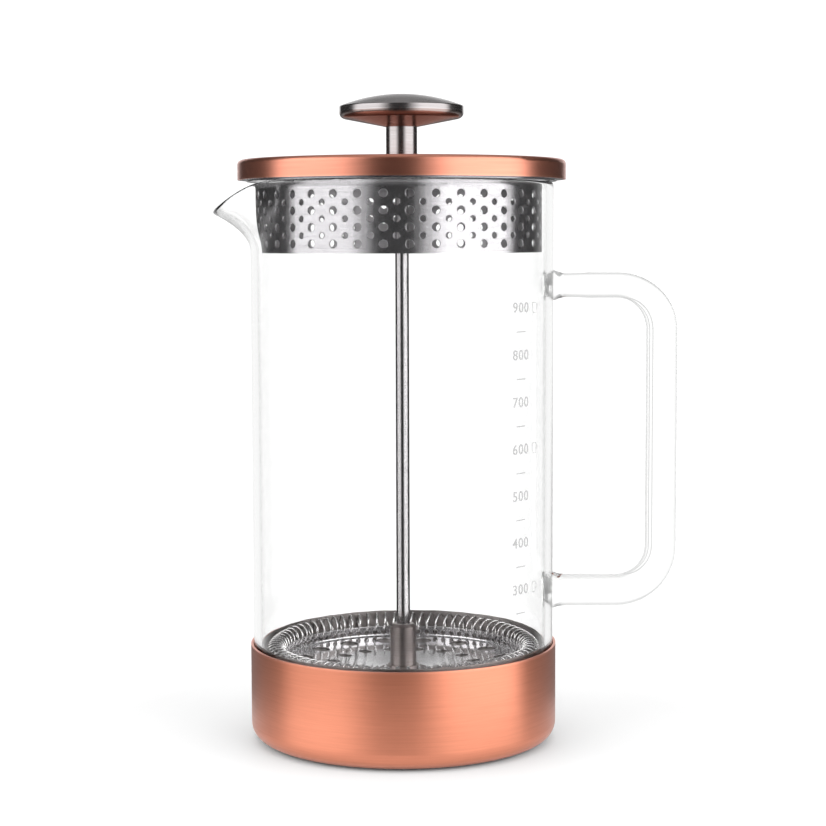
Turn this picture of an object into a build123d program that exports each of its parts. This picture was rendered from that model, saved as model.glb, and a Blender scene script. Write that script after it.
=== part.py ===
from build123d import *
import math
import os

# A french press in millimetres. +Z is up, the front is -Y, the spout is -X and the handle +X.
# The origin is the middle of the underside, on the surface that the press stands on.

# Glass beaker
glass_radius = 49.0
glass_wall = 2.3
glass_height = 175.2
glass_floor = 3.0
glass_corner = 9.0

# Pulled spout
spout_reach = 12.7
spout_rise = 13.7
spout_tip_drop = 8.3
spout_tip_radius = 6.0
spout_half_angle = 38.0
spout_level = 1.0
spout_droop = 25.0
spout_steps = 6

# Glass handle
handle_reach = 35.4
handle_drop = 33.2
handle_above_base = 16.7
handle_bend = 14.6
handle_bar = 10.1
handle_top_arm = 8.2
handle_low_arm = 10.3
handle_flare = 0.9
handle_flare_length = 3.0

# Metal base, with a soft ring under the glass and a non-slip pad below
base_wall = 0.8
base_height = 31.2
base_corner = 5.5
base_fit = 0.2
seat_height = 5.0
seat_width = 7.0
seat_fit = 0.1
pad_thickness = 1.9
pad_proud = 0.4
pad_fit = 0.5

# Lid
lid_overhang = 3.9
lid_wall = 0.8
lid_height = 6.3
lid_edge_round = 1.5
lid_seat_gap = 0.3
lid_plate_wall = 0.6
lid_plate_fit = 0.1
lid_plate_show = 0.1

# Perforated strainer collar under the lid
collar_gap = 1.45
collar_wall = 0.5
collar_drop = 22.7
collar_flare = 2.5
collar_flange_overhang = 1.0
collar_columns = 36
collar_large_rows = 4
collar_large_hole = 2.6
collar_small_hole = 2.0
collar_top_margin = 4.5
collar_low_margin = 2.9
collar_turn = 3.3

# Rod, and the bush that guides it through the lid
rod_diameter = 4.4
rod_fit = 0.05
bush_wall = 1.4
bush_flange = 2.4
bush_flange_height = 2.0
bush_tail = 2.4
bush_fit = 0.05
clip_thickness = 0.8
clip_depth = 0.6
clip_width = 2.4
clip_mouth = 5.0
clip_gap = 0.1

# Knob and its stem
stem_diameter = 10.1
stem_height = 10.45
stem_rest_gap = 0.2
knob_radius = 20.05
knob_wall = 0.8
knob_pan_slope = 11.2
knob_pan_round = 2.0
knob_pan_height = 4.85
knob_band = 1.8
knob_dome = 3.85
knob_edge_round = 0.5
insert_diameter = 9.0
insert_thread = 5.6

# Filter: a dished plate, a coil spring on its flange, a mesh cup, a cross plate and a nut
filter_above_floor = 12.8
filter_stack_gap = 0.1
filter_flat_radius = 8.0
filter_dish = 3.0
plate_wall = 0.5
plate_flange = 3.9
plate_bend = 0.7
plate_hole_count = 16
plate_outer_hole = 6.2
plate_outer_inset = 6.0
plate_inner_hole = 4.4
plate_inner_inset = 16.3
spring_turns = 81
spring_wire = 0.6
spring_coil_radius = 3.2
spring_inset = 2.0
spring_gap = 0.4
spring_hole = 1.8
spring_hole_margin = 2.0
spring_open_turn = 0.5
mesh_wall = 0.4
mesh_gap = 0.4
mesh_bend = 0.8
mesh_rim_rise = 0.0
cross_wall = 0.8
cross_inset = 2.0
cross_window = 10.0
cross_window_count = 8
nut_flats = 9.0
nut_height = 4.5
rod_end_show = 0.5
ferrule_diameter = 8.6
ferrule_height = 13.6
ferrule_chamfer = 0.9
ferrule_foot = 0.9
ferrule_foot_height = 1.4

# Heights and radii that follow from the sizes above
glass_inner = glass_radius - glass_wall
base_inner = glass_radius + base_fit
base_radius = base_inner + base_wall
base_floor_z = pad_proud + base_wall
base_rim_z = pad_proud + base_height
glass_z = base_floor_z + seat_height
floor_z = glass_z + glass_floor
rim_z = glass_z + glass_height
spout_tip_z = rim_z - spout_tip_drop
spout_root_z = spout_tip_z - spout_rise
handle_top_z = rim_z - handle_drop
handle_low_z = base_rim_z + handle_above_base
handle_x = glass_radius + handle_reach
seat_outer = base_inner - (base_corner - base_wall) - seat_fit
seat_inner = seat_outer - seat_width
panel_radius = seat_inner - seat_fit
pad_radius = panel_radius - base_wall - pad_fit
collar_radius = glass_inner - collar_gap
flange_z = rim_z + lid_seat_gap
collar_z = flange_z - collar_drop
plate_z = flange_z + collar_wall
skirt_z = plate_z + lid_plate_show
lid_radius = glass_radius + lid_overhang
lid_z = skirt_z + lid_height
rod_radius = rod_diameter / 2
bush_bore = rod_radius + rod_fit
bush_radius = bush_bore + bush_wall
bush_hole = bush_radius + bush_fit
clip_z = plate_z - clip_gap - clip_thickness
stem_z = lid_z + stem_rest_gap
knob_z = stem_z + stem_height
seam_z = knob_z + knob_pan_height
dome_z = seam_z + knob_band
knob_top_z = dome_z + knob_dome
filter_z = floor_z + filter_above_floor
mesh_radius = glass_inner - mesh_gap
spring_ring = mesh_radius - mesh_wall - spring_gap - spring_wire / 2 - spring_coil_radius
plate_radius = spring_ring - spring_inset
plate_rim_z = filter_z + filter_dish + plate_flange
spring_hole_z = plate_rim_z - spring_hole_margin
flange_inset = spring_inset + plate_wall / 2
spring_z = spring_hole_z + math.sqrt(spring_coil_radius**2 - flange_inset**2)
mesh_rim_z = spring_z + spring_coil_radius + spring_wire / 2 + mesh_rim_rise
mesh_z = filter_z - filter_stack_gap - mesh_wall
cross_z = mesh_z - filter_stack_gap - cross_wall
rod_end_z = cross_z - nut_height - rod_end_show
rod_top_z = knob_z + knob_wall + insert_thread


def turned(points, radii=0.0):
    """A solid turned about Z from its half section of radius and height points."""
    outline = FilletPolyline(*points, radius=radii, close=True)
    return revolve(Plane.XZ * make_face(outline), Axis.Z)


def ring(inner, outer, low, high):
    """A plain ring about Z."""
    return turned([(inner, low), (outer, low), (outer, high), (inner, high)])


def drilled(diameter, radius, count, turn=0.0):
    """Upright drills in a circle, long enough to pass through the whole press."""
    drill = Pos(radius, 0, knob_top_z / 2) * Cylinder(diameter / 2, knob_top_z)
    return [Rot(0, 0, turn + 360 * step / count) * drill for step in range(count)]


def glass_body(grow):
    """The full round outside of the beaker, grown by a clearance."""
    low = glass_z - grow
    wide = glass_radius + grow
    return turned([(0, low), (wide, low), (wide, rim_z), (0, rim_z)], [0, glass_corner + grow, 0, 0])


def spout_wedge(inset):
    """The pulled lip as a solid wedge that widens upward, drawn in by a wall."""
    half_angle = math.radians(spout_half_angle)
    shift = inset * math.cos(half_angle) / 2
    tip_radius = spout_tip_radius - inset / 2
    back = glass_inner - 3 * glass_wall
    top = rim_z + glass_wall
    sections = []
    for step in range(spout_steps):
        z = spout_root_z + shift + (top - spout_root_z - shift) * step / (spout_steps - 1)
        rise = (z - shift - spout_root_z) / spout_rise
        reach = glass_radius + spout_reach * rise**2 - inset - shift
        point = reach + tip_radius * (1 / math.sin(half_angle) - 1)
        width = (point - back) * math.tan(half_angle)
        corners = [(-back, width), (-point, 0), (-back, -width)]
        outline = FilletPolyline(*corners, radius=[0, tip_radius, 0], close=True)
        sections.append(Pos(0, 0, z) * make_face(outline))
    return loft(sections)


def lip_waste():
    """What is cut away above the drooping lip of the spout and above the rim."""
    run = spout_reach - spout_level
    half = math.hypot(run, spout_tip_drop) / 2
    depth = math.sqrt(spout_droop**2 - half**2) / (2 * half)
    level_x = -glass_radius - spout_level
    width = 2 * glass_radius
    nose_x = level_x - run / 2 + depth * spout_tip_drop
    nose_z = rim_z - spout_tip_drop / 2 - depth * run
    nose = Pos(nose_x, 0, nose_z) * Rot(90, 0, 0) * Cylinder(spout_droop, width)
    front = Pos(level_x - width / 2, 0, spout_tip_z + width / 2) * Box(width, width, width)
    above = Pos(0, 0, rim_z + width / 2) * Box(3 * width, 3 * width, width)
    return [front - nose, above]


def glass_beaker():
    """A straight beaker of heat-proof glass with a spout pulled from its rim."""
    inner_corner = glass_corner - glass_wall
    over = rim_z + glass_wall
    hollow = turned(
        [(0, floor_z), (glass_inner, floor_z), (glass_inner, over), (0, over)],
        [0, inner_corner, 0, 0],
    )
    outside = glass_body(0) + spout_wedge(0)
    return outside - hollow - spout_wedge(glass_wall) - lip_waste()


def glass_handle():
    """A bent glass rod, thinner at its upper arm, fused to the wall at both ends."""
    inside = glass_radius - glass_wall
    path = FilletPolyline(
        (inside, 0, handle_top_z),
        (handle_x, 0, handle_top_z),
        (handle_x, 0, handle_low_z),
        (inside, 0, handle_low_z),
        radius=handle_bend,
    )
    sizes = [handle_top_arm, handle_top_arm, handle_bar, handle_bar, handle_low_arm, handle_low_arm]
    rod = []
    for run, start, end in zip(path.order_edges(), sizes, sizes[1:]):
        ends = [Plane(run ^ 0) * Circle(start / 2), Plane(run ^ 1) * Circle(end / 2)]
        rod.append(sweep(ends, path=run, multisection=True))
    length = glass_wall + handle_flare_length
    for z, size in ((handle_top_z, handle_top_arm), (handle_low_z, handle_low_arm)):
        flare = Cone(size / 2 + handle_flare, size / 2, length)
        rod.append(Pos(inside + length / 2, 0, z) * Rot(0, 90, 0) * flare)
    return rod[0] + rod[1:] - glass_body(0)


def base_cup():
    """A drawn metal cup round the foot of the glass, with a raised panel in its floor."""
    panel = pad_thickness
    points = [
        (0, panel),
        (panel_radius - base_wall, panel),
        (panel_radius - base_wall, pad_proud),
        (base_radius, pad_proud),
        (base_radius, base_rim_z),
        (base_inner, base_rim_z),
        (base_inner, base_floor_z),
        (panel_radius, base_floor_z),
        (panel_radius, panel + base_wall),
        (0, panel + base_wall),
    ]
    radii = [0, 0, 0, base_corner, 0, 0, base_corner - base_wall, 0, 0, 0]
    return turned(points, radii)


def seat_ring():
    """A soft ring that carries the rounded foot of the glass."""
    return ring(seat_inner, seat_outer, base_floor_z, glass_z + glass_corner) - glass_body(seat_fit)


def foot_pad():
    """A non-slip pad in the hollow under the base, a little proud of it."""
    return Pos(0, 0, pad_thickness / 2) * Cylinder(pad_radius, pad_thickness)


def lid_cover():
    """A shallow drawn cap with a hole for the guide bush."""
    inner = lid_radius - lid_wall
    points = [
        (bush_hole, lid_z - lid_wall),
        (inner, lid_z - lid_wall),
        (inner, skirt_z),
        (lid_radius, skirt_z),
        (lid_radius, lid_z),
        (bush_hole, lid_z),
    ]
    return turned(points, [0, lid_edge_round - lid_wall, 0, 0, lid_edge_round, 0])


def lid_plate():
    """The flat plate that closes the cap from below."""
    outer = lid_radius - lid_wall - lid_plate_fit
    return ring(bush_hole, outer, plate_z, plate_z + lid_plate_wall)


def collar_holes():
    """Round holes in staggered columns, large ones and small ones by turns."""
    rows = 2 * collar_large_rows - 1
    pitch = (collar_drop - collar_top_margin - collar_low_margin) / (rows - 1)
    column = 360 / collar_columns
    holes = []
    for row in range(rows):
        small = row % 2
        size = collar_small_hole if small else collar_large_hole
        z = flange_z - collar_top_margin - pitch * row
        drill = Pos(0, -collar_radius, z) * Rot(90, 0, 0) * Cylinder(size / 2, 2 * collar_gap)
        for step in range(collar_columns):
            holes.append(Rot(0, 0, collar_turn + column * (step + small / 2)) * drill)
    return holes


def strainer_collar():
    """A perforated band that hangs in the beaker from a flange under the lid."""
    inner = collar_radius - collar_wall
    flange = glass_radius + collar_flange_overhang
    points = [
        (collar_radius, collar_z),
        (collar_radius, flange_z),
        (flange, flange_z),
        (flange, plate_z),
        (inner, plate_z),
        (inner, collar_z),
    ]
    band = turned(points, [0, collar_flare, 0, 0, collar_flare + collar_wall, 0])
    return band - collar_holes()


def guide_bush():
    """A flanged bush that leads the rod through both walls of the lid."""
    shelf_z = plate_z + lid_plate_wall + clip_gap
    groove = bush_radius - clip_depth
    points = [
        (bush_bore, plate_z - bush_tail),
        (bush_radius, plate_z - bush_tail),
        (bush_radius, clip_z),
        (groove, clip_z),
        (groove, clip_z + clip_thickness),
        (bush_radius, clip_z + clip_thickness),
        (bush_radius, shelf_z),
        (bush_radius + bush_flange, shelf_z),
        (bush_radius + bush_flange, shelf_z + bush_flange_height),
        (bush_radius, shelf_z + bush_flange_height),
        (bush_radius, lid_z),
        (bush_bore, lid_z),
    ]
    return turned(points)


def guide_clip():
    """A spring clip in the bush's groove, open at one side."""
    inner = bush_radius - clip_depth + bush_fit
    outer = inner + clip_width
    slack = clip_thickness - 2 * bush_fit
    body = Pos(0, 0, clip_z + clip_thickness / 2) * (Cylinder(outer, slack) - Cylinder(inner, slack))
    mouth = Pos(outer / 2, 0, clip_z) * Box(outer, clip_mouth, 4 * clip_thickness)
    return body - mouth


def plunger_rod():
    """One straight rod from the nut below the filter up into the knob."""
    length = rod_top_z - rod_end_z
    return Pos(0, 0, rod_end_z + length / 2) * Cylinder(rod_radius, length)


def knob_stem():
    """A sleeve on the rod that stops on the lid when the plunger is down."""
    return ring(bush_bore, stem_diameter / 2, stem_z, knob_z)


def knob_pan():
    """The lower shell of the knob, a shallow cone with a rounded edge."""
    stem = stem_diameter / 2
    rise = (knob_radius - stem) * math.tan(math.radians(knob_pan_slope))
    inner = knob_radius - knob_wall
    inner_rise = rise - knob_wall * math.tan(math.radians(knob_pan_slope))
    points = [
        (bush_bore, knob_z),
        (stem, knob_z),
        (knob_radius, knob_z + rise),
        (knob_radius, seam_z),
        (inner, seam_z),
        (inner, knob_z + knob_wall + inner_rise),
        (stem, knob_z + knob_wall),
        (bush_bore, knob_z + knob_wall),
    ]
    return turned(points, [0, 0, knob_pan_round, 0, 0, knob_pan_round - knob_wall, 0, 0])


def knob_dome_solid(inset):
    """The domed top of the knob as a solid, drawn in by a wall."""
    sphere = (knob_radius**2 + knob_dome**2) / (2 * knob_dome)
    centre_z = knob_top_z - sphere
    radius = sphere - inset
    edge = knob_radius - inset
    edge_z = centre_z + math.sqrt(radius**2 - edge**2)
    middle = (edge / 2, centre_z + math.sqrt(radius**2 - edge**2 / 4))
    outline = [
        Line((0, seam_z), (edge, seam_z)),
        Line((edge, seam_z), (edge, edge_z)),
        ThreePointArc((edge, edge_z), middle, (0, centre_z + radius)),
        Line((0, centre_z + radius), (0, seam_z)),
    ]
    return revolve(Plane.XZ * make_face(outline), Axis.Z)


def knob_cap():
    """The upper shell of the knob, a low dome with an upright edge."""
    outside = knob_dome_solid(0)
    edge = outside.edges().filter_by(Plane.XY).sort_by(Axis.Z)[-1]
    return fillet(edge, knob_edge_round) - knob_dome_solid(knob_wall)


def knob_insert():
    """The threaded boss inside the knob that holds the rod."""
    low = knob_z + knob_wall
    high = rod_top_z + rod_fit
    boss = ring(bush_bore, insert_diameter / 2, low, high)
    cap_low = knob_top_z - knob_wall - filter_stack_gap - insert_diameter**2 / (8 * knob_radius)
    plug = Pos(0, 0, (high + cap_low) / 2) * Cylinder(insert_diameter / 2, cap_low - high)
    return boss + plug


def rod_ferrule():
    """A sleeve with a foot, fixed on the rod above the filter."""
    low = filter_z + plate_wall
    foot_z = low + ferrule_foot_height
    radius = ferrule_diameter / 2
    points = [
        (bush_bore, low),
        (radius + ferrule_foot, low),
        (radius + ferrule_foot, foot_z),
        (radius, foot_z),
        (radius, foot_z + ferrule_height - ferrule_chamfer),
        (radius - ferrule_chamfer, foot_z + ferrule_height),
        (bush_bore, foot_z + ferrule_height),
    ]
    return turned(points)


def spiral_plate():
    """A dished round plate with an upturned flange that the spring is threaded through."""
    outer_z = filter_z + filter_dish
    inner = plate_radius - plate_wall
    points = [
        (bush_bore, filter_z),
        (filter_flat_radius, filter_z),
        (plate_radius, outer_z),
        (plate_radius, plate_rim_z),
        (inner, plate_rim_z),
        (inner, outer_z + plate_wall),
        (filter_flat_radius, filter_z + plate_wall),
        (bush_bore, filter_z + plate_wall),
    ]
    dish = turned(points, [0, 0, plate_bend + plate_wall, 0, 0, plate_bend, 0, 0])
    turn = 180 / plate_hole_count
    outer_holes = drilled(plate_outer_hole, plate_radius - plate_outer_inset, plate_hole_count, turn)
    inner_holes = drilled(plate_inner_hole, plate_radius - plate_inner_inset, plate_hole_count, turn)
    low_turn = 0.5 + math.asin((spring_z - spring_hole_z) / spring_coil_radius) / (2 * math.pi)
    pitch = 360 / spring_turns
    drill = Pos(plate_radius, 0, spring_hole_z) * Rot(0, 90, 0) * Cylinder(spring_hole / 2, 4 * plate_wall)
    thread_holes = [Rot(0, 0, pitch * (step + low_turn)) * drill for step in range(spring_turns)]
    return dish - outer_holes - inner_holes - thread_holes


def on_spring(turn):
    """The wire's middle and its direction after so many turns of the coil."""
    wind = 2 * math.pi * turn
    sweep_angle = wind / spring_turns
    radius = spring_ring + spring_coil_radius * math.cos(wind)
    outward = Vector(math.cos(sweep_angle), math.sin(sweep_angle), 0)
    along = Vector(-math.sin(sweep_angle), math.cos(sweep_angle), 0)
    place = outward * radius + Vector(0, 0, spring_z + spring_coil_radius * math.sin(wind))
    way = along * (radius / spring_turns) - outward * (spring_coil_radius * math.sin(wind))
    way += Vector(0, 0, spring_coil_radius * math.cos(wind))
    return place, way.normalized()


def biarc(start, start_way, end, end_way):
    """Two arcs that meet smoothly and leave and arrive in the given directions."""
    span = end - start
    lean = span.dot(start_way + end_way)
    spread = 2 * (1 - start_way.dot(end_way))
    handle = (math.sqrt(lean**2 + spread * span.dot(span)) - lean) / spread
    leave = start + start_way * handle
    arrive = end - end_way * handle
    middle = (leave + arrive) * 0.5
    first = Edge.make_tangent_arc(start, start_way, middle)
    return [first, Edge.make_tangent_arc(middle, arrive - leave, end)]


def least_gap(path):
    """The least space between one turn of the spring and the next, end to end."""
    per_arc = 6
    points = [arc @ (step / per_arc) for arc in path for step in range(per_arc)]
    turn = 4 * per_arc
    gaps = []
    for index, point in enumerate(points):
        for ahead in range(turn // 2, 2 * turn):
            gaps.append((points[(index + ahead) % len(points)] - point).length)
    return min(gaps) - spring_wire


def coil_spring():
    """One unbroken wire wound round a ring, through the holes of the flange."""
    halves = round(2 * (spring_turns - spring_open_turn))
    stops = [on_spring(half / 2) for half in range(halves + 1)]
    path = []
    for (start, start_way), (end, end_way) in zip(stops, stops[1:]):
        path += biarc(start, start_way, end, end_way)
    print("coil spring, least gap to itself:", round(least_gap(path), 2))
    place, way = stops[0]
    section = Plane(origin=place, z_dir=way) * Circle(spring_wire / 2)
    return sweep(section, path=Wire(path))


def mesh_screen():
    """The fine screen as a cup: a dished floor and a wall round the spring."""
    outer_z = mesh_z + filter_dish
    inner = mesh_radius - mesh_wall
    points = [
        (bush_bore, mesh_z),
        (filter_flat_radius, mesh_z),
        (plate_radius, outer_z),
        (mesh_radius, outer_z),
        (mesh_radius, mesh_rim_z),
        (inner, mesh_rim_z),
        (inner, outer_z + mesh_wall),
        (plate_radius, outer_z + mesh_wall),
        (filter_flat_radius, mesh_z + mesh_wall),
        (bush_bore, mesh_z + mesh_wall),
    ]
    return turned(points, [0, 0, 0, mesh_bend + mesh_wall, 0, 0, mesh_bend, 0, 0, 0])


def cross_plate():
    """The plate under the screen, with round windows."""
    radius = plate_radius - cross_inset
    run = plate_radius - filter_flat_radius
    outer_z = cross_z + filter_dish * (radius - filter_flat_radius) / run
    points = [
        (bush_bore, cross_z),
        (filter_flat_radius, cross_z),
        (radius, outer_z),
        (radius, outer_z + cross_wall),
        (filter_flat_radius, cross_z + cross_wall),
        (bush_bore, cross_z + cross_wall),
    ]
    middle = (filter_flat_radius + radius) / 2
    return turned(points) - drilled(cross_window, middle, cross_window_count)


def cross_plate_nut():
    """A six-sided nut on the end of the rod that holds the filter together."""
    hexagon = RegularPolygon(nut_flats / 2, 6, major_radius=False) - Circle(bush_bore)
    return Pos(0, 0, cross_z - nut_height) * extrude(hexagon, nut_height)


pieces = [
    glass_beaker,
    glass_handle,
    base_cup,
    seat_ring,
    foot_pad,
    lid_cover,
    lid_plate,
    strainer_collar,
    guide_bush,
    guide_clip,
    plunger_rod,
    knob_stem,
    knob_pan,
    knob_cap,
    knob_insert,
    rod_ferrule,
    spiral_plate,
    coil_spring,
    mesh_screen,
    cross_plate,
    cross_plate_nut,
]

os.makedirs("parts", exist_ok=True)
for piece in pieces:
    export_step(piece(), f"parts/{piece.__name__}.step")
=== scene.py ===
import bpy
import math
from mathutils import Euler, Matrix, Vector


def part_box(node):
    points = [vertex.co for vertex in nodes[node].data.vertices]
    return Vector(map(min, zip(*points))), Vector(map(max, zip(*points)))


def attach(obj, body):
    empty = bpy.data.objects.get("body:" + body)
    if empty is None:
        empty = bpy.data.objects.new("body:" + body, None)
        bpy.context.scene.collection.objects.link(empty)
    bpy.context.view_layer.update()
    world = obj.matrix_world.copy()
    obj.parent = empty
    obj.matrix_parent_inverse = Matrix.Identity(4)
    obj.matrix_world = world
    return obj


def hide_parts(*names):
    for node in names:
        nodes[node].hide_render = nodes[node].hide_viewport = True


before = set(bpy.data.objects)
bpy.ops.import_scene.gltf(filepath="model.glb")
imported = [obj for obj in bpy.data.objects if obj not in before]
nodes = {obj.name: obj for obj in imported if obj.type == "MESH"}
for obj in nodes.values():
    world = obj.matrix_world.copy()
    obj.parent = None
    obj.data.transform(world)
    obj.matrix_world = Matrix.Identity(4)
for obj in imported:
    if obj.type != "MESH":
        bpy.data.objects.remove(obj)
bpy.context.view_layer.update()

# Base cup. A shallow cup drawn from sheet steel, plated with copper and brushed round and round on a
# belt until it is satin. The glass stands in it, and handling has brightened its rim and foot edge.
mm = 0.001
base_low, base_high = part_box("base_cup")
base_radius = base_high.x
base_foot_edge = 1.5 * mm
base_worn_width = 0.9 * mm
noise_span = (0.3, 0.7)
grain_detail = 4.0
grain_rough = 0.7
grain_depth = 0.02 * mm
sheen_quarter = 0.25
lacquer_rough = 0.3
lacquer_ior = 1.5
dull_fade = 0.1 * mm
edge_samples = 6


def add_node(tree, kind, inputs=None, **settings):
    """A shader node with its settings; each input takes a value or a link from another socket."""
    made = tree.nodes.new(kind)
    for key, value in settings.items():
        setattr(made, key, value)
    for key, value in (inputs or {}).items():
        if isinstance(value, bpy.types.NodeSocket):
            tree.links.new(value, made.inputs[key])
        else:
            made.inputs[key].default_value = value
    return made


def reckon(tree, operation, first, second=0.0, third=0.0, clamp=False):
    """A sum on up to three values, such as ADD, ABSOLUTE or COMPARE."""
    terms = {0: first, 1: second, 2: third}
    return add_node(tree, "ShaderNodeMath", terms, operation=operation, use_clamp=clamp).outputs[0]


def length(tree, vector):
    """How long a vector is."""
    return add_node(tree, "ShaderNodeVectorMath", {0: vector}, operation="LENGTH").outputs["Value"]


def stretch(tree, value, low, high, new_low, new_high):
    """A value carried from one range to another, held at the ends."""
    ends = {"Value": value, "From Min": low, "From Max": high, "To Min": new_low, "To Max": new_high}
    return add_node(tree, "ShaderNodeMapRange", ends).outputs["Result"]


def share_of(tree, value, low, high):
    """How far a value has come from one end of a range to the other, from 0 to 1."""
    return stretch(tree, value, low, high, 0.0, 1.0)


def blend(tree, share, first, second):
    """Two values mixed by a share."""
    return add_node(tree, "ShaderNodeMix", {0: share, 2: first, 3: second}).outputs[0]


def blend_colour(tree, share, first, second):
    """Two colours mixed by a share."""
    mixed = add_node(tree, "ShaderNodeMix", {0: share, 6: first, 7: second}, data_type="RGBA")
    return mixed.outputs[2]


def new_finish(name, **constants):
    """A material with one Principled shader, whose constant values are set on its own sockets."""
    finish = bpy.data.materials.new(name)
    finish.use_nodes = True
    shader = finish.node_tree.nodes["Principled BSDF"]
    for key, value in constants.items():
        shader.inputs[key.replace("_", " ").title().replace("Ior", "IOR")].default_value = value
    return finish, finish.node_tree, shader


def worn_bands(tree, height, heights, width):
    """A share that is 1 at the given heights and fades to 0 over a width above and below them."""
    share = 0.0
    for edge in heights:
        off = reckon(tree, "ABSOLUTE", reckon(tree, "SUBTRACT", height, edge))
        share = reckon(tree, "MAXIMUM", share, stretch(tree, off, 0.0, width, 1.0, 0.0))
    return share


def brushed_metal(
    name, colour, streak_colour, rough, sheen_turn, grain, relief, worn=None, lacquer=0.0, dull=None, edge=0.0
):
    """Metal with grain lines that run round the upright axis, on upright walls and on flat faces alike.

    Worn heights are rubbed bright, inside the dull radius the metal is rougher, and cut edges are eased.
    """
    finish, tree, shader = new_finish(
        name,
        metallic=1.0,
        anisotropic=sheen_turn,
        anisotropic_rotation=sheen_quarter,
        coat_weight=lacquer,
        coat_roughness=lacquer_rough,
        coat_ior=lacquer_ior,
    )
    place = add_node(tree, "ShaderNodeTexCoord").outputs["Object"]
    axes = add_node(tree, "ShaderNodeSeparateXYZ", {"Vector": place}).outputs
    level = add_node(tree, "ShaderNodeCombineXYZ", {"X": axes["X"], "Y": axes["Y"]}).outputs["Vector"]
    radius = length(tree, level)
    lines = {"X": axes["X"], "Y": axes["Y"], "Z": reckon(tree, "ADD", radius, axes["Z"])}
    lines = add_node(tree, "ShaderNodeCombineXYZ", lines).outputs["Vector"]
    along_scale, across_scale = grain
    scales = (along_scale, along_scale, across_scale)
    lines = add_node(tree, "ShaderNodeVectorMath", {0: lines, 1: scales}, operation="MULTIPLY").outputs[0]
    grain_wave = {"Vector": lines, "Scale": 1.0, "Detail": grain_detail, "Roughness": grain_rough}
    streaks = add_node(tree, "ShaderNodeTexNoise", grain_wave).outputs["Fac"]
    share = share_of(tree, streaks, *noise_span)
    body_colour = blend_colour(tree, share, colour, streak_colour)
    if worn:
        worn_heights, worn_width, worn_colour = worn
        rubbed = reckon(tree, "MULTIPLY", worn_bands(tree, axes["Z"], worn_heights, worn_width), share)
        body_colour = blend_colour(tree, rubbed, body_colour, worn_colour)
    tree.links.new(body_colour, shader.inputs["Base Color"])
    roughness = stretch(tree, streaks, *noise_span, *rough)
    if dull:
        dull_radius, dull_rough = dull
        within = stretch(tree, radius, dull_radius - dull_fade, dull_radius, 1.0, 0.0)
        roughness = blend(tree, within, roughness, dull_rough)
    tree.links.new(roughness, shader.inputs["Roughness"])
    bump = add_node(tree, "ShaderNodeBump", {"Height": streaks, "Strength": relief, "Distance": grain_depth})
    if edge:
        eased = add_node(tree, "ShaderNodeBevel", {"Radius": edge}, samples=edge_samples)
        tree.links.new(eased.outputs["Normal"], bump.inputs["Normal"])
    tree.links.new(bump.outputs["Normal"], shader.inputs["Normal"])
    round_axis = add_node(tree, "ShaderNodeTangent", direction_type="RADIAL", axis="Z")
    tree.links.new(round_axis.outputs["Tangent"], shader.inputs["Tangent"])
    return finish


base_copper = brushed_metal(
    "base_copper_satin",
    colour=(0.745, 0.272, 0.165, 1),
    streak_colour=(0.685, 0.242, 0.144, 1),
    rough=(0.36, 0.42),
    sheen_turn=0.65,
    grain=(45.0, 1700.0),
    relief=0.12,
    worn=([base_high.z, base_low.z + base_foot_edge], base_worn_width, (0.97, 0.40, 0.28, 1)),
    lacquer=0.25,
)
nodes["base_cup"].material_slots[0].material = base_copper

# Foot pad. A round pad of black silicone, moulded with a rounded edge and a shallow ring groove,
# and glued into the hollow under the base so that the press doesn't slide.
pad_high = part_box("foot_pad")[1]
pad_radius = pad_high.x
pad_round = 0.6 * mm
pad_groove = 0.5 * mm
pad_groove_radius = 30.0 * mm
pad_groove_width = 2.0 * mm
pad_groove_round = 0.2 * mm
turn_steps = 192
turn_weld = 0.002 * mm
turn_smooth = math.radians(35)
texture_detail = 3.0
texture_depth = 0.05 * mm
cloud_size = 30


def rounded(corners, arc_steps=6):
    """The points of a half section, where each corner (radius, height, rounding) becomes an arc."""
    points = []
    for index, (radius, height, rounding) in enumerate(corners):
        corner = Vector((radius, height))
        if rounding == 0:
            points.append(corner)
            continue
        back = (Vector(corners[index - 1][:2]) - corner).normalized()
        ahead = (Vector(corners[(index + 1) % len(corners)][:2]) - corner).normalized()
        half = back.angle(ahead) / 2
        centre = corner + (back + ahead).normalized() * (rounding / math.sin(half))
        start = corner + back * (rounding / math.tan(half)) - centre
        end = corner + ahead * (rounding / math.tan(half)) - centre
        for step in range(arc_steps + 1):
            points.append(centre + start.slerp(end, step / arc_steps).normalized() * rounding)
    return points


def turned(name, outline, steps):
    """A half section drawn point by point from one vertex and spun once round the upright axis."""
    bpy.ops.object.select_all(action="DESELECT")
    bpy.ops.mesh.primitive_plane_add(size=mm)
    piece = bpy.context.object
    piece.name = piece.data.name = name
    bpy.ops.object.mode_set(mode="EDIT")
    bpy.ops.mesh.merge(type="CENTER")
    bpy.ops.transform.translate(value=(outline[0][0], 0, outline[0][1]))
    for here, there in zip(outline, outline[1:] + outline[:1]):
        move = (there[0] - here[0], 0, there[1] - here[1])
        bpy.ops.mesh.extrude_region_move(TRANSFORM_OT_translate={"value": move})
    bpy.ops.mesh.select_all(action="SELECT")
    bpy.ops.mesh.spin(steps=steps, angle=2 * math.pi, center=(0, 0, 0), axis=(0, 0, 1))
    bpy.ops.mesh.select_all(action="SELECT")
    bpy.ops.mesh.remove_doubles(threshold=turn_weld)
    bpy.ops.mesh.normals_make_consistent(inside=False)
    bpy.ops.object.mode_set(mode="OBJECT")
    bpy.ops.object.shade_smooth_by_angle(angle=turn_smooth)
    return piece


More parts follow.
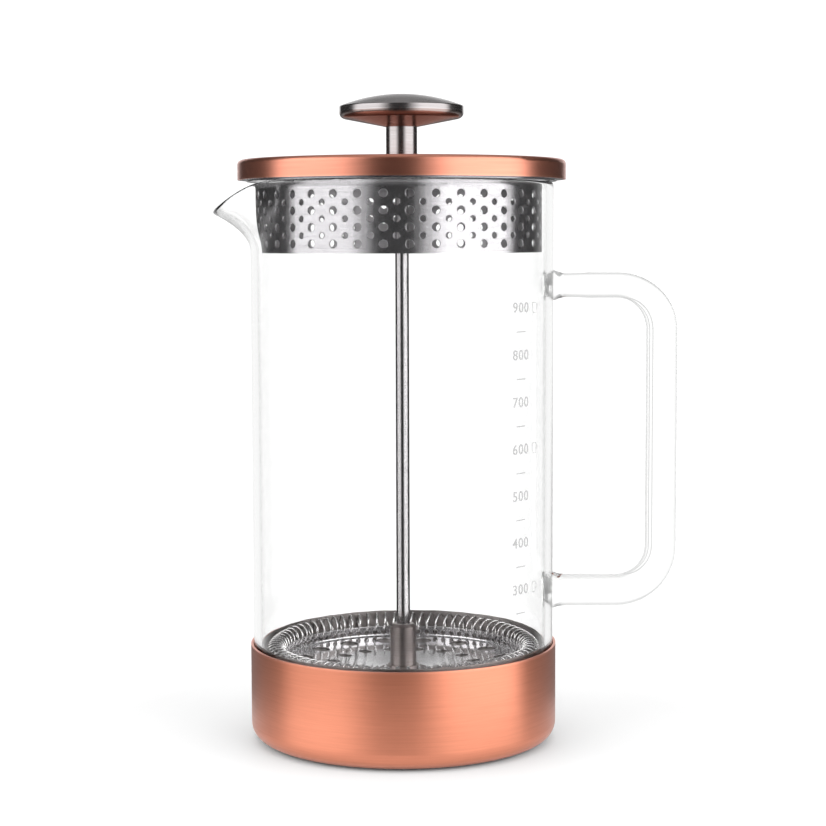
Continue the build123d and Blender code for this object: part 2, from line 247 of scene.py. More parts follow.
def moulded(name, colour, dark, rough, speck, relief):
    """Rubber or plastic from a mould: a fine even texture and soft clouds in colour and gloss."""
    finish, tree, shader = new_finish(name)
    place = add_node(tree, "ShaderNodeTexCoord").outputs["Object"]
    texture = {"Vector": place, "Scale": speck, "Detail": texture_detail}
    grains = add_node(tree, "ShaderNodeTexNoise", texture).outputs["Fac"]
    cloud = {"Vector": place, "Scale": speck / cloud_size}
    clouds = add_node(tree, "ShaderNodeTexNoise", cloud).outputs["Fac"]
    tree.links.new(blend_colour(tree, clouds, colour, dark), shader.inputs["Base Color"])
    tree.links.new(stretch(tree, grains, *noise_span, *rough), shader.inputs["Roughness"])
    bump = add_node(tree, "ShaderNodeBump", {"Height": grains, "Strength": relief, "Distance": texture_depth})
    tree.links.new(bump.outputs["Normal"], shader.inputs["Normal"])
    return finish


black_silicone = moulded(
    "black_silicone",
    colour=(0.022, 0.022, 0.023, 1),
    dark=(0.014, 0.014, 0.015, 1),
    rough=(0.55, 0.75),
    speck=2500.0,
    relief=0.3,
)
groove_out = pad_groove_radius + pad_groove_width / 2
groove_in = pad_groove_radius - pad_groove_width / 2
pad_section = rounded(
    [
        (0, 0, 0),
        (groove_in, 0, pad_groove_round),
        (groove_in + pad_groove, pad_groove, pad_groove_round),
        (groove_out - pad_groove, pad_groove, pad_groove_round),
        (groove_out, 0, pad_groove_round),
        (pad_radius, 0, pad_round),
        (pad_radius, pad_high.z, pad_round),
        (0, pad_high.z, 0),
    ]
)
foot = turned("foot_pad_silicone", pad_section, turn_steps)
foot.data.materials.append(black_silicone)
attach(foot, "beaker")
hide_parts("foot_pad")

# Seat ring. A soft black silicone ring that lies in the corner of the base. Its top is hollowed to
# the rounded foot of the glass, which it carries and keeps from knocking on the metal.
seat_low, seat_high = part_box("seat_ring")
seat_outer = seat_high.x
glass_low, glass_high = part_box("glass_beaker")
glass_radius = glass_high.y
glass_corner = 9.0 * mm
seat_fit = 0.1 * mm
seat_width = 7.0 * mm
seat_edge = 0.4 * mm
seat_edge_angle = math.radians(45)
seat_edge_segments = 3
seat_steps = 8

seat_inner = seat_outer - seat_width
hollow = glass_corner + seat_fit
corner_radius = glass_radius - glass_corner
corner_height = glass_low.z + glass_corner
seat_section = [Vector((seat_inner, seat_low.z)), Vector((seat_outer, seat_low.z))]
for step in range(seat_steps + 1):
    reach = (seat_outer - corner_radius) * (1 - step / seat_steps)
    height = corner_height - math.sqrt(hollow**2 - reach**2)
    seat_section.append(Vector((corner_radius + reach, height)))
seat_section.append(Vector((seat_inner, corner_height - hollow)))
seat = turned("seat_ring_silicone", seat_section, turn_steps)
soften = seat.modifiers.new("soft_edges", "BEVEL")
soften.width = seat_edge
soften.segments = seat_edge_segments
soften.limit_method = "ANGLE"
soften.angle_limit = seat_edge_angle
bpy.ops.object.modifier_apply(modifier=soften.name)
seat.data.materials.append(black_silicone)
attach(seat, "beaker")
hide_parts("seat_ring")

# Glass beaker. A straight beaker blown from heat-proof glass, with a rounded foot and a fire-polished rim.
# The pouring lip was pulled out of the rim while it was hot, so its wall is thinner there and droops.
glass_wall = 2.3 * mm
glass_floor = 3.0 * mm
glass_steps = 360
glass_arc_steps = 8
lip_rows = 26
lip_row_low = 150.0 * mm
lip_reach = 11.6 * mm
lip_rise = 12.0 * mm
lip_drop = 8.85 * mm
lip_droop = 1.55
lip_half_angle = math.radians(34)
lip_round = 1.4
lip_thin = 0.45
lip_halvings = 30

rim_round = glass_wall / 2
glass_inner = glass_radius - glass_wall
wall_top = glass_high.z - rim_round
lip_root_z = wall_top - lip_drop - lip_rise


def lip_pull(angle, height):
    """How far the lip is pulled out at an angle from its middle line, and how fast it leans out there."""
    bell = ((1 + math.cos(math.pi * angle / lip_half_angle)) / 2) ** lip_round
    rise = max(height - lip_root_z, 0) / lip_rise
    return lip_reach * bell * rise**2, 2 * lip_reach * bell * rise / lip_rise


def lip_top(angle):
    """The height where the pulled wall ends at an angle, because the rim droops towards the tip."""
    low, high = lip_root_z, wall_top
    for _ in range(lip_halvings):
        middle = (low + high) / 2
        out, _lean = lip_pull(angle, middle)
        if middle < wall_top - lip_drop * (out / lip_reach) ** lip_droop:
            low = middle
        else:
            high = middle
    return low


def pull_lip(place):
    """Where a point of the straight rim goes when the lip is pulled: wall and edge lean out together."""
    angle = math.atan2(place.y, -place.x)
    depth = glass_radius - math.hypot(place.x, place.y)
    share = min((place.z - lip_row_low) / (wall_top - lip_row_low), 1)
    height = lip_row_low + share * (lip_top(angle) - lip_row_low)
    out, lean = lip_pull(angle, height)
    slant = math.hypot(1, lean)
    thin = 1 - lip_thin * out / lip_reach
    over = thin * max(place.z - wall_top, 0)
    depth *= thin
    radius = glass_radius + out + (over * lean - depth) / slant
    top = height + (over + depth * lean) / slant
    return Vector((-radius * math.cos(angle), radius * math.sin(angle), top))


row_heights = [lip_row_low + (wall_top - lip_row_low) * row / lip_rows for row in range(lip_rows)]
glass_section = rounded(
    [
        (0, glass_low.z, 0),
        (glass_radius, glass_low.z, glass_corner),
        *[(glass_radius, height, 0) for height in row_heights],
        (glass_radius, glass_high.z, rim_round),
        (glass_inner, glass_high.z, rim_round),
        *[(glass_inner, height, 0) for height in reversed(row_heights)],
        (glass_inner, glass_low.z + glass_floor, glass_corner - glass_wall),
        (0, glass_low.z + glass_floor, 0),
    ],
    arc_steps=glass_arc_steps,
)
glass = turned("clear_glass", glass_section, glass_steps)
for vertex in glass.data.vertices:
    if vertex.co.z > lip_row_low and abs(math.atan2(vertex.co.y, -vertex.co.x)) < lip_half_angle:
        vertex.co = pull_lip(vertex.co)

# Glass handle. A rod of the same glass, bent twice and thicker in the grip than in the upper arm. Its flared
# ends are fused to the wall, so that beaker and handle are one clear piece. Radii are in millimetres.
handle_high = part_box("glass_handle")[1]
handle_grip = 5.05
handle_top_arm = 4.1
handle_low_arm = 5.15
handle_flare = 0.9
handle_bend = 14.6 * mm
handle_top_z = 148.2 * mm
handle_low_z = 48.3 * mm
# Along an arm, out from the wall: the share of the flare at each joint, then how much thinner the rod gets.
joint_flares = [(-glass_wall / 2, 1.0), (0.6 * mm, 0.8), (1.8 * mm, 0.25)]
top_necks = [(3.6 * mm, 0.25), (7.0 * mm, 0.2), (11.0 * mm, 0.0)]
low_neck = 4.0 * mm
bend_steps = 14
rod_sides = 48
tube_weld = 0.001 * mm
tube_smooth = math.radians(50)
glass_smooth = math.radians(40)
glass_ior = 1.47
glass_waves = (60.0, 60.0, 9.0)
glass_wave_relief = 0.05
glass_wave_depth = 0.2 * mm
glass_tint = (0.86, 0.93, 0.84, 1)
glass_tint_density = 6.0

bend_x = handle_high.x - handle_grip * mm - handle_bend
rod_line = []
for off, share in joint_flares:
    rod_line.append((glass_radius + off, handle_top_z, handle_top_arm + handle_flare * share))
for off, waist in top_necks:
    rod_line.append((glass_radius + off, handle_top_z, handle_top_arm - waist))
for step in range(bend_steps + 1):
    turn = math.pi / 2 * step / bend_steps
    swell = (1 - math.cos(2 * turn)) / 2
    size = handle_top_arm + (handle_grip - handle_top_arm) * swell
    x = bend_x + handle_bend * math.sin(turn)
    rod_line.append((x, handle_top_z - handle_bend * (1 - math.cos(turn)), size))
for step in range(bend_steps + 1):
    turn = math.pi / 2 * step / bend_steps
    size = handle_grip + (handle_low_arm - handle_grip) * step / bend_steps
    x = bend_x + handle_bend * math.cos(turn)
    rod_line.append((x, handle_low_z + handle_bend * (1 - math.sin(turn)), size))
rod_line.append((glass_radius + low_neck, handle_low_z, handle_low_arm))
for off, share in reversed(joint_flares):
    rod_line.append((glass_radius + off, handle_low_z, handle_low_arm + handle_flare * share))


def tube(name, line, sides):
    """A closed mesh tube along a line of (x, y, z, radius in mm) points."""
    drawn = bpy.data.curves.new(name, "CURVE")
    drawn.dimensions = "3D"
    drawn.bevel_depth = mm
    drawn.bevel_resolution = sides // 2 - 2
    drawn.use_fill_caps = True
    spline = drawn.splines.new("POLY")
    spline.points.add(len(line) - 1)
    for point, (x, y, z, size) in zip(spline.points, line):
        point.co = (x, y, z, 1)
        point.radius = size
    made = bpy.data.objects.new(name, drawn)
    bpy.context.collection.objects.link(made)
    bpy.ops.object.select_all(action="DESELECT")
    made.select_set(True)
    bpy.context.view_layer.objects.active = made
    bpy.ops.object.convert(target="MESH")
    made = bpy.context.object
    bpy.ops.object.mode_set(mode="EDIT")
    bpy.ops.mesh.select_all(action="SELECT")
    bpy.ops.mesh.remove_doubles(threshold=tube_weld)
    bpy.ops.mesh.normals_make_consistent(inside=False)
    bpy.ops.object.mode_set(mode="OBJECT")
    bpy.ops.object.shade_smooth_by_angle(angle=tube_smooth)
    return made


handle = tube("glass_rod", [(x, 0, z, size) for x, z, size in rod_line], rod_sides)
bpy.ops.object.select_all(action="DESELECT")
glass.select_set(True)
bpy.context.view_layer.objects.active = glass
fuse = glass.modifiers.new("fused_handle", "BOOLEAN")
fuse.operation = "UNION"
fuse.solver = "EXACT"
fuse.object = handle
bpy.ops.object.modifier_apply(modifier=fuse.name)
bpy.data.objects.remove(handle)
bpy.ops.object.shade_smooth_by_angle(angle=glass_smooth)

clear_glass, tree, shader = new_finish(
    "clear_heatproof_glass", base_color=(1, 1, 1, 1), roughness=0.0, ior=glass_ior, transmission_weight=1.0
)
place = add_node(tree, "ShaderNodeTexCoord").outputs["Object"]
place = add_node(tree, "ShaderNodeMapping", {"Vector": place, "Scale": glass_waves}).outputs["Vector"]
waves = add_node(tree, "ShaderNodeTexNoise", {"Vector": place, "Scale": 1.0, "Detail": 1.0}).outputs["Fac"]
swells = {"Height": waves, "Strength": glass_wave_relief, "Distance": glass_wave_depth}
bump = add_node(tree, "ShaderNodeBump", swells)
tree.links.new(bump.outputs["Normal"], shader.inputs["Normal"])
tint = add_node(tree, "ShaderNodeVolumeAbsorption", {"Color": glass_tint, "Density": glass_tint_density})
tree.links.new(tint.outputs["Volume"], tree.nodes["Material Output"].inputs["Volume"])
glass.data.materials.append(clear_glass)
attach(glass, "beaker")
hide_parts("glass_beaker", "glass_handle")

# Measuring marks. A millilitre scale in thin grey enamel, screen-printed on the outside of the glass beside
# the handle and fired on: plain numbers, a dash half-way between them and a small cup at each third number.
print_turn = math.radians(48.9)
print_film = 0.03 * mm
print_gap = 0.01 * mm
first_number = 300
number_step = 100
number_count = 7
first_mark_z = 53.9 * mm
mark_pitch = 14.68 * mm
number_size = 4.45 * mm
number_wide = 1.1
number_thin = 0.004
number_space = 1.12
number_curve_steps = 4
dash_length = 4.3 * mm
dash_width = 0.34 * mm
dash_cuts = 8
cups_every = 3
cup_shift = 7.4 * mm
cup_width = 2.2 * mm
cup_height = 3.2 * mm
cup_corner = 0.4 * cup_width
cup_corner_steps = 4
cup_ear = 0.8 * mm
cup_ear_rise = 0.08 * cup_height
cup_ear_steps = 6
cup_line = 0.13
cup_line_sides = 8


def print_on_glass(mark, sideways, height):
    """A flat mark is laid round the outside of the glass, at its place on the scale."""
    for vertex in mark.data.vertices:
        turn = print_turn + (vertex.co.x + sideways) / glass_radius
        out = glass_radius + print_gap + vertex.co.z
        vertex.co = (out * math.sin(turn), -out * math.cos(turn), height + vertex.co.y)
    return mark


def number(value):
    """A number as a flat mesh, as thick as the film of enamel."""
    bpy.ops.object.select_all(action="DESELECT")
    bpy.ops.object.text_add()
    text = bpy.context.object
    text.data.body = str(value)
    text.data.size = number_size
    text.data.align_x = "CENTER"
    text.data.align_y = "CENTER"
    text.data.extrude = print_film
    text.data.offset = number_thin * number_size
    text.data.space_character = number_space
    text.data.resolution_u = number_curve_steps
    bpy.ops.object.convert(target="MESH")
    bpy.ops.object.mode_set(mode="EDIT")
    bpy.ops.mesh.select_all(action="SELECT")
    bpy.ops.transform.resize(value=(number_wide, 1, 1))
    bpy.ops.object.mode_set(mode="OBJECT")
    return bpy.context.object


def dash():
    """A short level line, cut across so that it can follow the glass."""
    bpy.ops.object.select_all(action="DESELECT")
    bpy.ops.mesh.primitive_grid_add(x_subdivisions=dash_cuts, y_subdivisions=1, size=1)
    line = bpy.context.object
    bpy.ops.object.mode_set(mode="EDIT")
    bpy.ops.transform.resize(value=(dash_length, dash_width, 1))
    bpy.ops.mesh.extrude_region_move(TRANSFORM_OT_translate={"value": (0, 0, print_film)})
    bpy.ops.mesh.select_all(action="SELECT")
    bpy.ops.mesh.normals_make_consistent(inside=False)
    bpy.ops.object.mode_set(mode="OBJECT")
    return line


def cup_lines():
    """The outline of a cup with a rounded foot, and of the small ear at its side."""
    side, foot_z = cup_width / 2, -cup_height / 2
    bowl = [(-side, -foot_z), (-side, foot_z + cup_corner)]
    for step in range(cup_corner_steps + 1):
        turn = math.pi / 2 * step / cup_corner_steps
        bowl.append((-side + cup_corner * (1 - math.cos(turn)), foot_z + cup_corner * (1 - math.sin(turn))))
    bowl += [(-x, y) for x, y in reversed(bowl)]
    bowl.append(bowl[0])
    ear = []
    for step in range(cup_ear_steps + 1):
        turn = math.pi * step / cup_ear_steps - math.pi / 2
        ear.append((side + cup_ear * math.cos(turn), cup_ear * math.sin(turn) + cup_ear_rise))
    return [bowl, ear]


def flat_line(line):
    """A thin line along (x, y) points, pressed as flat as the film of enamel."""
    drawn = tube("cup_line", [(x, y, 0, cup_line) for x, y in line], cup_line_sides)
    for vertex in drawn.data.vertices:
        vertex.co.z *= print_film / (cup_line * mm)
    return drawn


marks = []
for step in range(number_count):
    height = first_mark_z + mark_pitch * step
    marks.append(print_on_glass(number(first_number + number_step * step), 0, height))
    marks.append(print_on_glass(dash(), 0, height - mark_pitch / 2))
    if step % cups_every == 0:
        marks += [print_on_glass(flat_line(line), cup_shift, height) for line in cup_lines()]
bpy.ops.object.select_all(action="DESELECT")
for mark in marks:
    mark.select_set(True)
bpy.context.view_layer.objects.active = marks[0]
bpy.ops.object.join()
scale_print = bpy.context.object
scale_print.name = scale_print.data.name = "measure_marks"
scale_print.data.materials.clear()
grey_enamel = moulded(
    "grey_enamel",
    colour=(0.33, 0.33, 0.33, 1),
    dark=(0.27, 0.27, 0.27, 1),
    rough=(0.35, 0.55),
    speck=6000.0,
    relief=0.15,
)
scale_print.data.materials.append(grey_enamel)
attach(scale_print, "beaker")

# Lid cover. A shallow cap drawn from sheet steel, copper-plated and satin-brushed like the base but with a
# little more shine. The rolled top edge and the cut lower edge are rubbed bright.
lid_low, lid_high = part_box("lid_cover")
lid_roll = 0.5 * mm
lid_worn_width = 0.7 * mm
lid_copper = brushed_metal(
    "lid_copper_satin",
    colour=(0.84, 0.325, 0.220, 1),
    streak_colour=(0.78, 0.295, 0.198, 1),
    rough=(0.31, 0.37),
    sheen_turn=0.6,
    grain=(45.0, 1900.0),
    relief=0.10,
    worn=([lid_high.z - lid_roll, lid_low.z], lid_worn_width, (0.97, 0.42, 0.30, 1)),
    lacquer=0.25,
)
nodes["lid_cover"].material_slots[0].material = lid_copper

# Lid plate. A plain round of brushed stainless sheet that closes the cap from below and carries the collar
# and the guide bush. It is pressed into the cap, and its edge shows as a thin line under the copper.
brushed_steel = brushed_metal(
    "steel_brushed",
    colour=(0.50, 0.49, 0.50, 1),
    streak_colour=(0.43, 0.42, 0.43, 1),
    rough=(0.20, 0.28),
    sheen_turn=0.7,
    grain=(40.0, 2200.0),
    relief=0.10,
)
nodes["lid_plate"].material_slots[0].material = brushed_steel

# Strainer collar. A band of stainless sheet, punched with staggered rows of large and small holes, bent
# round and flanged at the top, where it is welded to the lid's plate. It hangs in the mouth of the beaker,
# and its inner face is left dull.
collar_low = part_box("strainer_collar")[0]
collar_radius = 45.25 * mm
collar_skin = 0.2 * mm
collar_worn_width = 0.5 * mm
collar_steel = brushed_metal(
    "collar_steel",
    colour=(0.45, 0.44, 0.455, 1),
    streak_colour=(0.385, 0.375, 0.385, 1),
    rough=(0.19, 0.25),
    sheen_turn=0.65,
    grain=(40.0, 2300.0),
    relief=0.08,
    worn=([collar_low.z], collar_worn_width, (0.62, 0.61, 0.62, 1)),
    dull=(collar_radius - collar_skin, 0.5),
    edge=0.3 * mm,
)
nodes["strainer_collar"].material_slots[0].material = collar_steel

# Guide bush and its clip. The bush is turned from black acetal and leads the rod through the lid; a flat
# spring-steel clip snapped into its groove keeps it there.
black_acetal = moulded(
    "black_acetal",
    colour=(0.030, 0.030, 0.031, 1),
    dark=(0.020, 0.020, 0.021, 1),
    rough=(0.35, 0.5),
    speck=3500.0,
    relief=0.15,
)
nodes["guide_bush"].material_slots[0].material = black_acetal
clip_steel = brushed_metal(
    "clip_spring_steel",
    colour=(0.48, 0.47, 0.46, 1),
    streak_colour=(0.40, 0.39, 0.38, 1),
    rough=(0.22, 0.32),
    sheen_turn=0.3,
    grain=(300.0, 3000.0),
    relief=0.08,
)
nodes["guide_clip"].material_slots[0].material = clip_steel

# Plunger rod. One length of stainless bar, drawn and polished, so its faint lines run along it. It slides
# in the bush, with the knob screwed on its upper end and the filter clamped on its lower end.
rod_steel = brushed_metal(
    "rod_drawn_steel",
    colour=(0.36, 0.35, 0.355, 1),
    streak_colour=(0.28, 0.27, 0.275, 1),
    rough=(0.09, 0.15),
    sheen_turn=0.0,
    grain=(1800.0, 25.0),
    relief=0.10,
)
nodes["plunger_rod"].material_slots[0].material = rod_steel

# Knob. A stem sleeve on the rod carries a pressed pan and a domed cap, spun and polished, with a threaded
# boss inside that holds the rod. The steel is a shade darker than the strainer. The pan's colour is darker
# and warmer still: a painted reflection of the copper lid that it faces.
cap_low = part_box("knob_cap")[0]
cap_worn_width = 0.35 * mm
knob_steel = brushed_metal(
    "knob_spun_steel",
    colour=(0.42, 0.395, 0.395, 1),
    streak_colour=(0.36, 0.335, 0.335, 1),
    rough=(0.20, 0.28),
    sheen_turn=0.45,
    grain=(60.0, 2400.0),
    relief=0.08,
    worn=([cap_low.z], cap_worn_width, (0.52, 0.49, 0.49, 1)),
)
for name in ("knob_stem", "knob_cap", "knob_insert"):
    nodes[name].material_slots[0].material = knob_steel
# The pan's darker, warmer colour is a painted reflection of the copper lid that it faces.
pan_painted_reflection = brushed_metal(
    "pan_steel_painted_reflection",
    colour=(0.33, 0.265, 0.25, 1),
    streak_colour=(0.28, 0.225, 0.21, 1),
    rough=(0.20, 0.28),
    sheen_turn=0.45,
    grain=(60.0, 2400.0),
    relief=0.08,
)
nodes["knob_pan"].material_slots[0].material = pan_painted_reflection

# Ferrule. A short sleeve turned from stainless bar, with a foot and a chamfered mouth, pressed on the rod to
# hold the filter down.
ferrule_steel = brushed_metal(
    "ferrule_turned_steel",
    colour=(0.36, 0.315, 0.305, 1),
    streak_colour=(0.30, 0.26, 0.25, 1),
    rough=(0.28, 0.38),
    sheen_turn=0.4,
    grain=(60.0, 2600.0),
    relief=0.10,
)
nodes["rod_ferrule"].material_slots[0].material = ferrule_steel

# Spiral plate. A dished round of bright stainless sheet with two rings of holes; its upturned flange is
# pierced all round for the spring.
plate_steel = brushed_metal(
    "spiral_plate_steel",
    colour=(0.66, 0.65, 0.66, 1),
    streak_colour=(0.58, 0.57, 0.58, 1),
    rough=(0.07, 0.12),
    sheen_turn=0.2,
    grain=(60.0, 1500.0),
    relief=0.05,
    edge=0.25 * mm,
)
nodes["spiral_plate"].material_slots[0].material = plate_steel

# Coil spring. One bright stainless wire wound in 81 turns round the filter's edge, each turn threaded through
# a hole in the plate's flange, so that the screen is pressed against the glass all round. It leans a little.
spring_low, spring_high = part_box("coil_spring")
spring_turns = 81
spring_open = 0.5
spring_wire = 0.3
spring_lean = 0.55 * mm
turn_points = 24
wire_sides = 8

spring_coil = (spring_high.z - spring_low.z) / 2 - spring_wire * mm
spring_ring = spring_high.x - spring_wire * mm - spring_coil
spring_z = (spring_high.z + spring_low.z) / 2
wound = []
for step in range(round((spring_turns - spring_open) * turn_points) + 1):
    wind = 2 * math.pi * step / turn_points
    out = spring_ring + spring_coil * math.cos(wind)
    turn = wind / spring_turns
    height = spring_z + spring_coil * math.sin(wind) + spring_lean * math.sin(turn)
    wound.append((out * math.cos(turn), out * math.sin(turn), height, spring_wire))
spring = tube("coil_spring_wire", wound, wire_sides)
spring_wire_steel = brushed_metal(
    "spring_wire_steel",
    colour=(0.88, 0.87, 0.87, 1),
    streak_colour=(0.76, 0.75, 0.75, 1),
    rough=(0.12, 0.20),
    sheen_turn=0.0,
    grain=(900.0, 900.0),
    relief=0.05,
)
spring.data.materials.append(spring_wire_steel)
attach(spring, "plunger")
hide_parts("coil_spring")

# Mesh screen. Fine stainless wire cloth, stamped to the plate's dish and turned up round the spring. The cut
# edge is a little uneven, as wire cloth is, and leans up towards the back.
mesh_low, mesh_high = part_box("mesh_screen")
cloth = 0.4 * mm
cloth_bend = 0.8 * mm
cloth_flat = 8.0 * mm
cloth_bore = 2.25 * mm
cloth_dish = 3.0 * mm
cloth_steps = 288
dish_radius = 40.0 * mm
wire_pitch = 0.32 * mm
edge_height = 4.0 * mm
edge_ripple = 0.08 * mm
edge_ripples = (11, 29)
edge_lean = 0.3 * mm
edge_tilt = 0.6 * mm
wire_colour = (0.44, 0.41, 0.40, 1)
# The gaps between the wires are coloured dark: painted shade for the cloth's openings.
wire_gap_painted_shade = (0.17, 0.15, 0.145, 1)
wire_rough = 0.3
wire_gap_rough = 0.5
weave_relief = 0.5
weave_depth = 0.06 * mm

mesh_radius = mesh_high.x
dish_z = mesh_low.z + cloth_dish
edge_z = mesh_high.z - edge_height
cloth_section = rounded(
    [
        (cloth_bore, mesh_low.z, 0),
        (cloth_flat, mesh_low.z, 0),
        (dish_radius, dish_z, 0),
        (mesh_radius, dish_z, cloth_bend + cloth),
        (mesh_radius, mesh_high.z - edge_ripple, cloth / 2),
        (mesh_radius - cloth, mesh_high.z - edge_ripple, cloth / 2),
        (mesh_radius - cloth, dish_z + cloth, cloth_bend),
        (dish_radius, dish_z + cloth, 0),
        (cloth_flat, mesh_low.z + cloth, 0),
        (cloth_bore, mesh_low.z + cloth, 0),
    ]
)
screen = turned("mesh_screen_cloth", cloth_section, cloth_steps)
for vertex in screen.data.vertices:
    if vertex.co.z > edge_z:
        turn = math.atan2(vertex.co.y, vertex.co.x)
        lift = (vertex.co.z - edge_z) / edge_height
        uneven = edge_ripple * (math.sin(edge_ripples[0] * turn) + math.sin(edge_ripples[1] * turn + 1)) / 2
        vertex.co.z += lift * (uneven + edge_lean * math.cos(turn) + edge_tilt * math.sin(turn))

cloth_steel, tree, shader = new_finish("wire_cloth_steel", metallic=1.0)
place = add_node(tree, "ShaderNodeTexCoord").outputs["Object"]
axes = add_node(tree, "ShaderNodeSeparateXYZ", {"Vector": place}).outputs
around = reckon(tree, "MULTIPLY", reckon(tree, "ARCTAN2", axes["Y"], axes["X"]), mesh_radius)
on_wall = reckon(tree, "GREATER_THAN", axes["Z"], dish_z + cloth)
warp = blend(tree, on_wall, axes["X"], around)
weft = blend(tree, on_wall, axes["Y"], axes["Z"])
wires = []
for run in (warp, weft):
    phase = reckon(tree, "MULTIPLY", run, 2 * math.pi / wire_pitch)
    wires.append(reckon(tree, "SINE", phase))
weave_and_gap_shade = share_of(tree, reckon(tree, "MULTIPLY", *wires), -1.0, 1.0)
# Between the wires the colour darkens: painted shade where the cloth is open.
tree.links.new(blend_colour(tree, weave_and_gap_shade, wire_gap_painted_shade, wire_colour), shader.inputs["Base Color"])
tree.links.new(stretch(tree, weave_and_gap_shade, 0.0, 1.0, wire_gap_rough, wire_rough), shader.inputs["Roughness"])
bump = add_node(tree, "ShaderNodeBump", {"Height": weave_and_gap_shade, "Strength": weave_relief, "Distance": weave_depth})
tree.links.new(bump.outputs["Normal"], shader.inputs["Normal"])
screen.data.materials.append(cloth_steel)
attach(screen, "plunger")
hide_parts("mesh_screen")

# Cross plate and nut. A stamped stainless disc with round windows backs the screen, and a six-sided nut on
# the rod's end clamps the whole filter together.
nodes["cross_plate"].material_slots[0].material = brushed_steel
nut_steel = brushed_metal(
    "nut_steel",
    colour=(0.48, 0.47, 0.46, 1),
    streak_colour=(0.40, 0.39, 0.38, 1),
    rough=(0.18, 0.28),
    sheen_turn=0.3,
    grain=(150.0, 2600.0),
    relief=0.08,
)
nodes["cross_plate_nut"].material_slots[0].material = nut_steel

# Studio floor. A round of pale matt board that the press stands on, painted a little lighter close to the
# base: painted light that lifts the press's own shadow there.
# Mirrored in metal, or seen through glass, it ends a short way off and is open under the base, so that the
# surround's own light shows there.
floor_radius = 0.75
floor_sides = 128
floor_rough = 0.6
floor_painted_light_near = (0.96, 0.96, 0.96, 1)
floor_shade = (0.885, 0.885, 0.885, 1)
floor_shift = (0, 0.03, 0)
floor_end = (0.085, 0.120)
floor_open = (0.043, 0.049)


def reached(tree, count, number):
    """A share that is 1 once a count of bounces has reached a number, and 0 before."""
    return share_of(tree, count, number - 1, number)


bpy.ops.object.select_all(action="DESELECT")
bpy.ops.mesh.primitive_circle_add(vertices=floor_sides, radius=floor_radius, fill_type="NGON")
floor = bpy.context.object
floor.name = "studio_floor"
floor_paint, tree, shader = new_finish("pale_floor", roughness=floor_rough)
place = add_node(tree, "ShaderNodeTexCoord").outputs["Object"]
out = length(tree, place)
# Painted light: the floor's colour is lighter near the base, where the press's shadow falls.
away = share_of(tree, out, base_radius, 2 * base_radius)
tree.links.new(blend_colour(tree, away, floor_painted_light_near, floor_shade), shader.inputs["Base Color"])
path = add_node(tree, "ShaderNodeLightPath").outputs
mirrored = reached(tree, path["Glossy Depth"], 1)
through = reached(tree, path["Transmission Depth"], 1)
front = add_node(tree, "ShaderNodeVectorMath", {0: place, 1: floor_shift}, operation="ADD").outputs[0]
beyond = share_of(tree, length(tree, front), *floor_end)
unseen = reckon(tree, "MAXIMUM", mirrored, path["Is Shadow Ray"])
unseen = reckon(tree, "MAXIMUM", unseen, through)
unseen = reckon(tree, "MULTIPLY", unseen, beyond)
under = reckon(tree, "MULTIPLY", stretch(tree, out, *floor_open, 1.0, 0.0), mirrored)
unseen = reckon(tree, "MAXIMUM", unseen, under)
clear = add_node(tree, "ShaderNodeBsdfTransparent").outputs[0]
seen = add_node(tree, "ShaderNodeMixShader", {0: unseen, 1: shader.outputs[0], 2: clear}).outputs[0]
tree.links.new(seen, tree.nodes["Material Output"].inputs["Surface"])
floor.data.materials.append(floor_paint)

# Soft boxes. Two tall lamps with white cloth fronts, one at each side of the press. The lamps light matt
# things, and metal mirrors them as the surround draws them. Each has its name, the bearings of its sides,
# how soft each side is, the elevations of its ends, in degrees, and its light outside and inside the glass.
box_distance = 1.1
soft_boxes = [
    ("soft_box_left", (-97.0, -31.5), (6.0, 12.0), (-9.0, 43.0), 2.1, 2.45),
    ("soft_box_right", (23.0, 96.0), (13.0, 6.0), (-22.0, 43.0), 2.2, 3.1),
]

for name, sides, _edges, ends, glow, _inside_glow in soft_boxes:
    turn = math.radians((sides[0] + sides[1]) / 2)
    width = 2 * box_distance * math.tan(math.radians(sides[1] - sides[0]) / 2)
    low, high = [box_distance * math.tan(math.radians(end)) for end in ends]
    away = Vector((math.sin(turn), -math.cos(turn), 0))
    bpy.ops.object.light_add(type="AREA", location=away * box_distance + Vector((0, 0, (low + high) / 2)))
    box = bpy.context.object
    box.name = name
    box.rotation_euler = away.to_track_quat("Z", "Y").to_euler()
    box.data.shape = "RECTANGLE"
    box.data.size = width
    box.data.size_y = high - low
    box.data.energy = glow * math.pi * width * (high - low)
    box.visible_camera = False
    box.visible_glossy = False
    box.visible_transmission = False

# Surround. A white room round the press, whose light is drawn by each ray's heading. Plain sight and matt
# things get it even, metal mirrors a dark room with bright windows, and glass gets the clear light that
# leaves its walls bright and its edges grey.
backdrop_light = 1.15
room_light = 1.12

world = bpy.data.worlds.new("studio_surround")
bpy.context.scene.world = world
world.use_nodes = True
world.cycles.sampling_method = "NONE"
tree = world.node_tree
path = add_node(tree, "ShaderNodeLightPath").outputs
mirrors = path["Glossy Depth"]
skins = path["Transmission Depth"]
heading = add_node(tree, "ShaderNodeTexCoord").outputs["Generated"]
heading = add_node(tree, "ShaderNodeSeparateXYZ", {"Vector": heading}).outputs
facing = reckon(tree, "MULTIPLY", heading["Y"], -1.0)
bearing = reckon(tree, "ARCTAN2", heading["X"], facing)
turned_to = reckon(tree, "ARCTAN2", heading["X"], heading["Y"])
mirrored = reached(tree, mirrors, 1)
in_wall = reached(tree, skins, 1)
past_wall = reached(tree, skins, 3)
past_beaker = reached(tree, skins, 4)
outside = stretch(tree, past_beaker, 0.0, 1.0, 1.0, 0.0)

